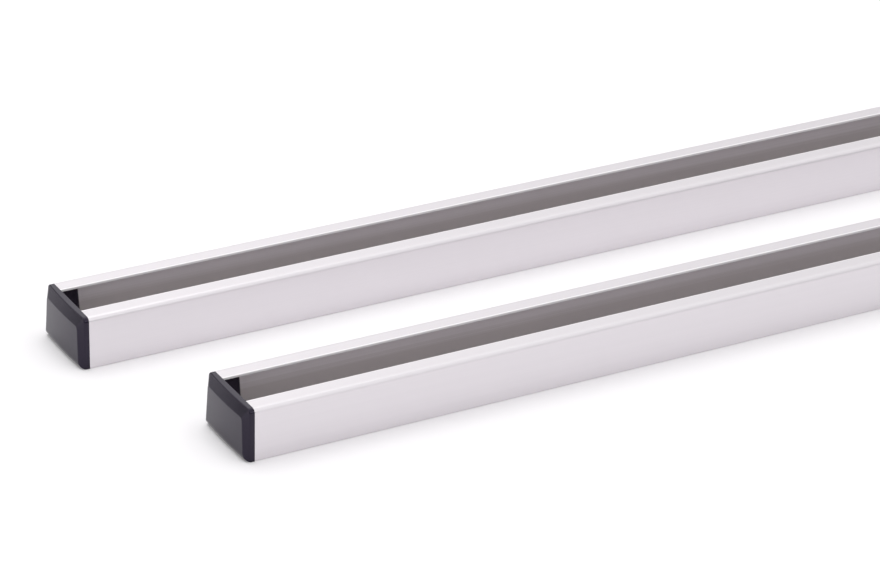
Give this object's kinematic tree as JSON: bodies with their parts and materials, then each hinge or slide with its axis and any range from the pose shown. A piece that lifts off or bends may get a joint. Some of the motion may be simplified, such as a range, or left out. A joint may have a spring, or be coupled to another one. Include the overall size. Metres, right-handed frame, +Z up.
{
  "type": "pair of roof rails",
  "caption": "Parallel aluminium channel roof rails with an open top slot and moulded black plastic end caps, lying flat side by side.",
  "frame": {"origin": "on the floor, under the middle of the pair", "axes": "+X along the rails, +Y from the front rail to the rear rail, +Z up through the open slots"},
  "size_m": [1.247, 0.177, 0.03],
  "materials": {
    "rail_aluminium": "satin silver anodised",
    "cap_plastic": "satin moulded black"
  },
  "bodies": {
    "root": {"rear_rail": "rail_aluminium", "rear_rail_left_cap": "cap_plastic", "rear_rail_right_cap": "cap_plastic", "front_rail": "rail_aluminium", "front_rail_left_cap": "cap_plastic", "front_rail_right_cap": "cap_plastic"}
  },
  "joints": []
}
